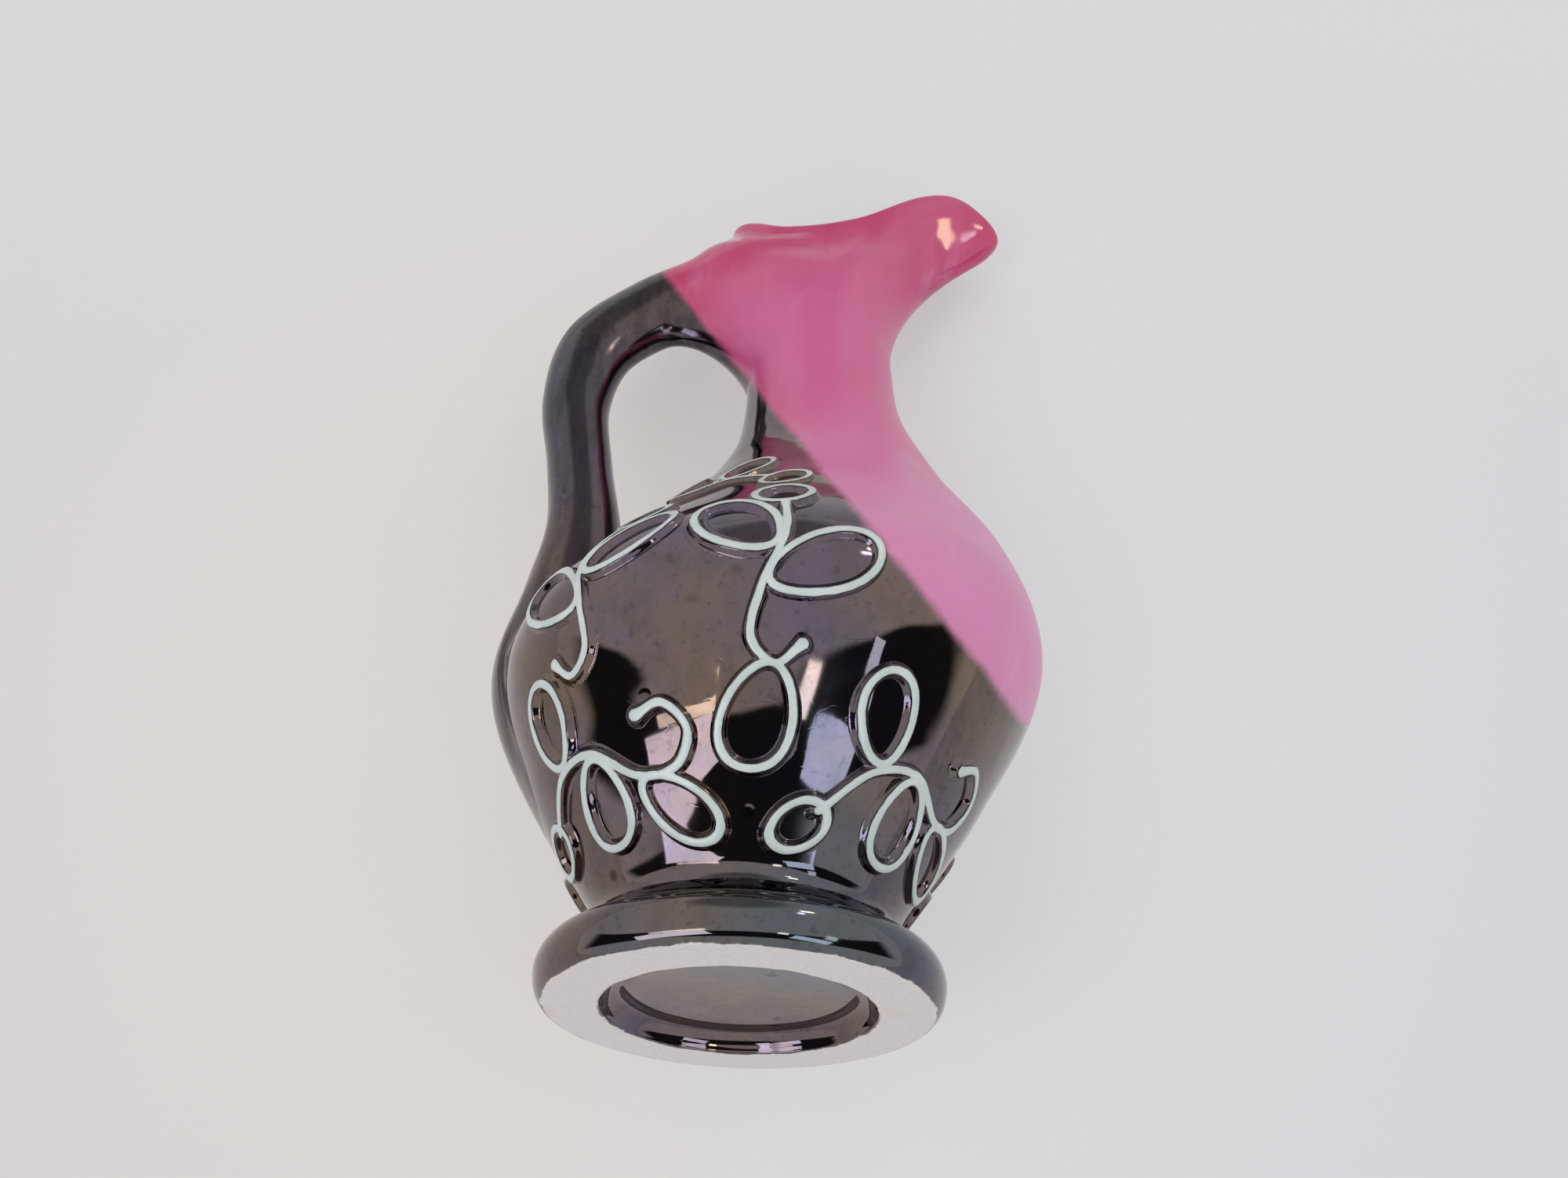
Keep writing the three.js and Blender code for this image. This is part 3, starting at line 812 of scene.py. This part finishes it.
def glaze(name, with_clay, tone, streaks, dullness, crazing):
    material = bpy.data.materials.new(name)
    material.use_nodes = True
    n = Nodes(material.node_tree)
    shader = material.node_tree.nodes["Principled BSDF"]
    dip = place_group(n, dip_line)
    black = place_group(n, lustre, Tone=tone, Streaks=streaks, Dullness=dullness, Crazing=crazing)
    pink = place_group(n, pink_glaze, Near_edge=dip["Near edge"])
    colour = n.mix(dip["Pink"], black["Colour"], pink["Colour"])
    metal = n.math("SUBTRACT", 1.0, dip["Pink"])
    rough = n.ramp(dip["Pink"], 0, 1, black["Roughness"], pink["Roughness"])
    height = n.math("MULTIPLY", black["Height"], metal)
    if with_clay:
        clay = place_group(n, bare_clay)
        colour = n.mix(clay["Bare"], colour, clay["Colour"])
        metal = n.math("MULTIPLY", metal, n.math("SUBTRACT", 1.0, clay["Bare"]))
        rough = n.ramp(clay["Bare"], 0, 1, rough, CLAY_ROUGHNESS)
        height = n.math("ADD", height, n.math("MULTIPLY", clay["Height"], clay["Bare"]))
    place = n.object_place()
    height = n.math("ADD", height, n.math("MULTIPLY", n.noise(place, 55, 1), ORANGE_PEEL))
    bump = n.add("ShaderNodeBump", None, Strength=BUMP_STRENGTH, Distance=BUMP_DEPTH, Height=height)
    for socket, value in (("Base Color", colour), ("Metallic", metal), ("Roughness", rough)):
        n.link(value, shader.inputs[socket])
    n.link(bump.outputs[0], shader.inputs["Normal"])
    return material


vessel_glaze = glaze("vessel_glaze", True, tone=1.2, streaks=0.12, dullness=0, crazing=0.06)
handle_glaze = glaze("handle_glaze", False, tone=0.85, streaks=0.55, dullness=0.1, crazing=0.25)
vessel.data.materials.append(vessel_glaze)
handle.data.materials.append(handle_glaze)
print("glazes:", vessel_glaze.name, handle_glaze.name)

# %% [markdown]
# ## The glaze of the trailed slip
# The lustre ran off the crests of the trailed lines and left them pale, while their flanks stayed dark. Two
# materials on separate faces would give a saw-toothed edge. So one material reads the distance that is kept
# on the mesh, and a little noise lets the edge between crest and flank wander.

# %% Glaze of the trailed slip
CREST, EDGE_BLUR = 0.74, 0.07
SLIP_ROUGHNESS = 0.22
MILK, BRIGHT_MILK, THIN_MILK = shade(0.58, 0.655, 0.63), shade(0.68, 0.745, 0.72), shade(0.5, 0.59, 0.56)
OUTLINE = shade(0.03, 0.027, 0.03)
slip = bpy.data.materials.new("trailed_slip")
slip.use_nodes = True
n = Nodes(slip.node_tree)
shader = slip.node_tree.nodes["Principled BSDF"]
place = n.object_place()
black = place_group(n, lustre, Tone=1.2, Streaks=0.0, Dullness=0.0, Crazing=0.04)
distance = n.add("ShaderNodeAttribute", {"attribute_name": "trail"}).outputs["Fac"]
uneven = n.math("MULTIPLY", n.math("SUBTRACT", n.noise(place, 330, 3), 0.5), 0.45)
distance = n.math("ADD", distance, uneven)
crest = n.ramp(distance, CREST + EDGE_BLUR, CREST - EDGE_BLUR)
milk = n.mix(n.ramp(n.noise(place, 150, 3), 0.35, 0.7), MILK, BRIGHT_MILK)
milk = n.mix(n.ramp(distance, CREST - 0.35, CREST), milk, THIN_MILK)
outline = n.math("MULTIPLY", n.ramp(distance, CREST + 0.32, CREST + 0.12), 0.85)
dark = n.mix(outline, black["Colour"], OUTLINE)
colour = n.mix(crest, dark, milk)
n.link(colour, shader.inputs["Base Color"])
n.link(n.math("SUBTRACT", 1.0, crest), shader.inputs["Metallic"])
n.link(n.ramp(crest, 0, 1, black["Roughness"], SLIP_ROUGHNESS), shader.inputs["Roughness"])
height = n.math("MULTIPLY", n.noise(place, 240, 2), 0.5)
bump = n.add("ShaderNodeBump", None, Strength=BUMP_STRENGTH, Distance=BUMP_DEPTH, Height=height)
n.link(bump.outputs[0], shader.inputs["Normal"])
for piece in trails:
    piece.data.materials.append(slip)
print("materials:", [m.name for m in bpy.data.materials if m.users])

# %% [markdown]
# ## The table
# In the photograph the carafe lies on a pale table and the lens looks down at it. The carafe could be laid
# down, but it has to stand as the CAD model does, so the table is tilted: a plane that touches the belly
# from behind. Seen from its other side it is see-through, so the back of the pot can be viewed too.

# %% Table
TABLE_LEAN = math.radians(15.7)
TABLE_TOUCH = Vector((0, 59.5, 76)) * MM
TABLE_HALF = 1.6
PAPER_ROUGHNESS = 0.8
EVENNESS = 0.55
# Painted light: the paper is darker at the sides, and lighter towards the far side and round the middle.
WARM_SHADED_SIDE, COOL_SHADED_SIDE, LIT_FAR_SIDE = shade(0.675, 0.66, 0.65), shade(0.67, 0.69, 0.72), shade(0.81, 0.81, 0.81)
WARM_LIT_MIDDLE, COOL_LIT_MIDDLE = shade(0.8, 0.765, 0.735), shade(0.775, 0.78, 0.795)
bm = bmesh.new()
bmesh.ops.create_grid(bm, x_segments=1, y_segments=1, size=TABLE_HALF)
turn = Matrix.Rotation(math.radians(90) + TABLE_LEAN, 4, "X")
bmesh.ops.transform(bm, matrix=Matrix.Translation(TABLE_TOUCH) @ turn, verts=bm.verts)
mesh = bpy.data.meshes.new("table")
bm.to_mesh(mesh)
bm.free()
table = bpy.data.objects.new("table", mesh)
bpy.context.scene.collection.objects.link(table)
paper = bpy.data.materials.new("table_paper")
paper.use_nodes = True
n = Nodes(paper.node_tree)
shader = paper.node_tree.nodes["Principled BSDF"]
place = n.object_place()
from_touch = n.add("ShaderNodeVectorMath", {"operation": "DISTANCE"}, in0=place, in1=TABLE_TOUCH)
to_right = n.dot(place, picture_right)
to_top = n.dot(place, picture_up)
# Painted light on the paper: warm on the left, cool on the right, lighter far off and round the carafe.
tone = n.mix(n.ramp(to_right, -0.25, 0.25), WARM_SHADED_SIDE, COOL_SHADED_SIDE)
tone = n.mix(n.ramp(to_top, -0.1, 0.3, 0, 0.6), tone, LIT_FAR_SIDE)
middle = n.mix(n.ramp(to_right, -0.08, 0.08), WARM_LIT_MIDDLE, COOL_LIT_MIDDLE)
tone = n.mix(n.ramp(from_touch.outputs["Value"], 0.05, 0.3), middle, tone)
n.link(tone, shader.inputs["Base Color"])
shader.inputs["Roughness"].default_value = PAPER_ROUGHNESS
ray = n.add("ShaderNodeLightPath").outputs
mirrored = n.math("MAXIMUM", ray["Is Glossy Ray"], ray["Is Transmission Ray"])
seen = n.math("MULTIPLY", n.math("MAXIMUM", ray["Is Camera Ray"], mirrored), EVENNESS)
glow = n.add("ShaderNodeEmission", None, Color=tone)
pale = n.add("ShaderNodeMixShader", None, in0=seen, in1=shader.outputs[0], in2=glow.outputs[0])
clear = n.add("ShaderNodeBsdfTransparent")
behind = n.add("ShaderNodeNewGeometry").outputs["Backfacing"]
blend = n.add("ShaderNodeMixShader", None, in0=behind, in1=pale.outputs[0], in2=clear.outputs[0])
n.link(blend.outputs[0], paper.node_tree.nodes["Material Output"].inputs["Surface"])
table.data.materials.append(paper)
print("table faces", tuple(round(c, 2) for c in mesh.polygons[0].normal))

# %% [markdown]
# ## The windows
# A dark, shiny glaze shows little but what it mirrors, so the lights are the windows and lamps of the room. A
# picture of a room could light the pot, but area lamps need no picture file. Each one hangs where the glaze
# mirrors it at the place of a highlight in the photograph: windows and a lamp on the belly, two on the beak.

# %% Windows
LOOK_AT = Vector((0, -20, 90)) * MM


def window(name, right_degrees, up_degrees, width, height, radiance, colour):
    """A bright rectangle, placed by its angles right and up of the lens as seen from the carafe."""
    a, e = math.radians(right_degrees), math.radians(up_degrees)
    towards = (-ahead * math.cos(a) + picture_right * math.sin(a)) * math.cos(e) + picture_up * math.sin(e)
    light = bpy.data.lights.new(name, "AREA")
    light.shape = "RECTANGLE"
    light.size, light.size_y = width, height
    light.energy = radiance * math.pi * width * height
    light.color = colour
    lamp = bpy.data.objects.new(name, light)
    bpy.context.scene.collection.objects.link(lamp)
    aim = towards.to_track_quat("Z", "Y").to_matrix().to_4x4()
    lamp.matrix_world = Matrix.Translation(LOOK_AT + towards) @ aim


window("left_window", -32, -5, 0.62, 0.27, 3.8, (0.82, 0.82, 1))
window("left_window_top", -31, 6.5, 0.5, 0.08, 3.4, (1, 0.9, 0.82))
window("right_window", 33, -7, 0.33, 0.23, 3, (0.78, 0.85, 1))
window("right_window_edge", 46, 3, 0.1, 0.16, 2.4, (0.92, 0.97, 1))
window("warm_lamp", 21, 5, 0.1, 0.09, 6, (1, 0.92, 0.74))
window("beak_lamp", 69, 53, 0.12, 0.06, 12, (1, 0.82, 0.55))
window("beak_window", 57.5, 51, 0.06, 0.06, 9, (0.86, 0.82, 1))

# %% [markdown]
# ## The room
# The rest of the room is pale, with a dark band behind the lens that the belly mirrors between its windows.
# It could be built from walls, but a world colour that changes with direction does the same with no mesh. The
# lens itself sees a plain pale grey, which adds no light to the pot.

# %% Room
PALE_ROOM, DARK_BAND = shade(0.83, 0.815, 0.805), shade(0.03, 0.03, 0.035)
CEILING, BACKDROP = shade(0.34, 0.33, 0.34), shade(0.7, 0.7, 0.7)
world = bpy.data.worlds.new("room")
bpy.context.scene.world = world
world.use_nodes = True
n = Nodes(world.node_tree)
way = n.add("ShaderNodeTexCoord").outputs["Generated"]
facing = n.dot(way, -ahead)
above = n.dot(way, picture_up)
band = n.math("MULTIPLY", n.ramp(above, 0.18, 0.14), n.ramp(above, -0.26, -0.2))
dark = n.math("MULTIPLY", band, n.ramp(facing, 0.04, 0.2))
colour = n.mix(dark, PALE_ROOM, DARK_BAND)
colour = n.mix(n.ramp(above, 0.9, 0.97), colour, CEILING)
from_lens = n.add("ShaderNodeLightPath").outputs["Is Camera Ray"]
colour = n.mix(from_lens, colour, BACKDROP)
background = world.node_tree.nodes["Background"]
n.link(colour, background.inputs["Color"])
bpy.context.scene.view_settings.view_transform = "Standard"
print("world:", world.name)
